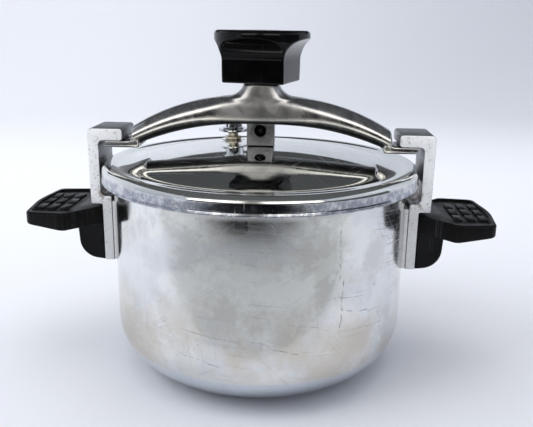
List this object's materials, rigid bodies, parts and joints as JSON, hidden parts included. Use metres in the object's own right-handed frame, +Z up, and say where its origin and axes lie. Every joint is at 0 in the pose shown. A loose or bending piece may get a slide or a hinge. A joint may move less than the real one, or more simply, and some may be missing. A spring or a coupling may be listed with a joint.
{
  "type": "screw-clamp pressure canner",
  "caption": "Aluminium pressure canner: a pot with side handles, a domed lid clamped by a cast yoke under hooked brackets, a screw knob and steam valves.",
  "frame": {"origin": "centre of the pot's base, on the surface it stands on", "axes": "+Z up along the pot's axis, +X towards the right-hand handle, -Y towards the viewer"},
  "size_m": [0.3502, 0.237, 0.2533],
  "materials": {
    "polished_aluminium": "polished, worn",
    "mill_aluminium": "extruded, dull",
    "rivet_aluminium": "pressed",
    "cast_aluminium": "cast, rubbed satin",
    "knob_bakelite": "glossy moulded phenolic",
    "handle_bakelite": "satin moulded phenolic",
    "dark_steel": "dark, satin",
    "screw_steel": "turned",
    "spring_steel": "drawn wire",
    "chrome_plate": "bright plate",
    "brass": "turned",
    "black_rubber": "matt"
  },
  "bodies": {
    "pot": {"pot_body": "polished_aluminium", "right_bracket": "mill_aluminium", "right_bracket_pad": "mill_aluminium", "right_front_rivet": "rivet_aluminium", "right_rear_rivet": "rivet_aluminium", "right_lower_rivet": "rivet_aluminium", "right_handle": "handle_bakelite", "right_handle_screw": "dark_steel", "left_bracket": "mill_aluminium", "left_bracket_pad": "mill_aluminium", "left_front_rivet": "rivet_aluminium", "left_rear_rivet": "rivet_aluminium", "left_lower_rivet": "rivet_aluminium", "left_handle": "handle_bakelite", "left_handle_screw": "dark_steel"},
    "lid": {"lid": "polished_aluminium", "gasket": "black_rubber", "guide_post": "dark_steel", "retaining_pin": "dark_steel", "post_bolt": "dark_steel", "post_washer": "black_rubber", "valve_stem": "brass", "valve_nut": "brass", "valve_seal": "black_rubber", "safety_valve_body": "brass", "safety_valve_cap": "brass", "safety_valve_nut": "brass", "safety_valve_seal": "black_rubber", "safety_valve_spring": "spring_steel"},
    "yoke": {"yoke": "cast_aluminium", "thread_bush": "dark_steel"},
    "clamp_screw": {"clamp_screw": "screw_steel", "knob": "knob_bakelite", "knob_insert": "brass", "knob_fixing_screw": "dark_steel", "knob_cap": "knob_bakelite"},
    "valve_weight": {"valve_weight": "chrome_plate"},
    "safety_plunger": {"safety_valve_plunger": "dark_steel"}
  },
  "joints": [
    {"name": "lid_swing", "type": "hinge", "parent": "pot", "child": "lid", "pos_m": [0, 0, 0.1505], "axis": [0, 0, 1], "continuous": true},
    {"name": "clamp_screw_turn", "type": "hinge", "parent": "lid", "child": "clamp_screw", "pos_m": [0, 0, 0.2], "axis": [0, 0, 1], "range_deg": [0, 720]},
    {"name": "yoke_drop", "type": "slide", "parent": "lid", "child": "yoke", "axis": [0, 0, 1], "range_m": [-0.006, 0]},
    {"name": "valve_weight_lift", "type": "slide", "parent": "lid", "child": "valve_weight", "axis": [0, 0, 1], "range_m": [0, 0.014]},
    {"name": "safety_plunger_lift", "type": "slide", "parent": "lid", "child": "safety_plunger", "axis": [0, 0, 1], "range_m": [0, 0.0015], "stiffness_N_per_m": 1500, "springref_m": -0.003, "deforming": ["safety_valve_spring"]}
  ],
  "couplings": [
    {"joint": "clamp_screw_turn", "follows": "yoke_drop", "rad_per_m": -2094.4}
  ]
}
